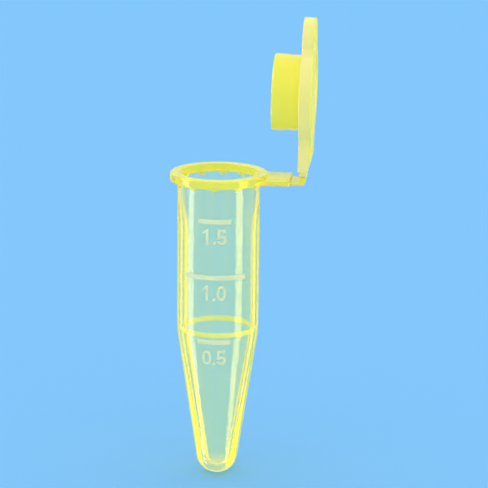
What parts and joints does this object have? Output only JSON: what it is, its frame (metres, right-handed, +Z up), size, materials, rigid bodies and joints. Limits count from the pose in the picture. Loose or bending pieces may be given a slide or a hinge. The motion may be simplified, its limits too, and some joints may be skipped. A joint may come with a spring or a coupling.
{
  "type": "microcentrifuge tube",
  "caption": "Small translucent plastic centrifuge tube with a cylindrical barrel, conical rounded tip, collar and an attached snap lid standing open on a living hinge.",
  "frame": {"origin": "centre of the mouth, on the flat top of the rim", "axes": "+Z up along the tube's axis, out of the mouth; +X towards the hinge and the open lid; -Y is the front, with the raised graduations"},
  "size_m": [0.0187, 0.0128, 0.0613],
  "materials": {
    "tinted_wall": "translucent yellow polypropylene, polished mould surface",
    "tinted_lid": "translucent yellow polypropylene, thicker and denser in colour",
    "frosted_mark": "raised frosted marks of the same plastic"
  },
  "bodies": {
    "tube": {"tube_barrel": "tinted_wall", "tube_cone": "tinted_wall", "collar": "tinted_wall", "tube_strap": "tinted_wall", "living_hinge": "tinted_wall", "graduation_line_1_5": "frosted_mark", "graduation_line_1_0": "frosted_mark", "graduation_line_0_5": "frosted_mark", "numeral_1_5": "frosted_mark", "numeral_1_0": "frosted_mark", "numeral_0_5": "frosted_mark"},
    "lid": {"lid_plate": "tinted_lid", "lid_tab": "tinted_lid", "lid_strap": "tinted_lid", "lid_plug": "tinted_lid", "plug_seal_bead": "tinted_lid"}
  },
  "joints": [
    {"name": "lid_hinge", "type": "hinge", "parent": "tube", "child": "lid", "pos_m": [0.0105, 0, 0.00015], "axis": [0, 1, 0], "range_deg": [-91.2, 88], "deforming": ["living_hinge", "plug_seal_bead"]}
  ]
}
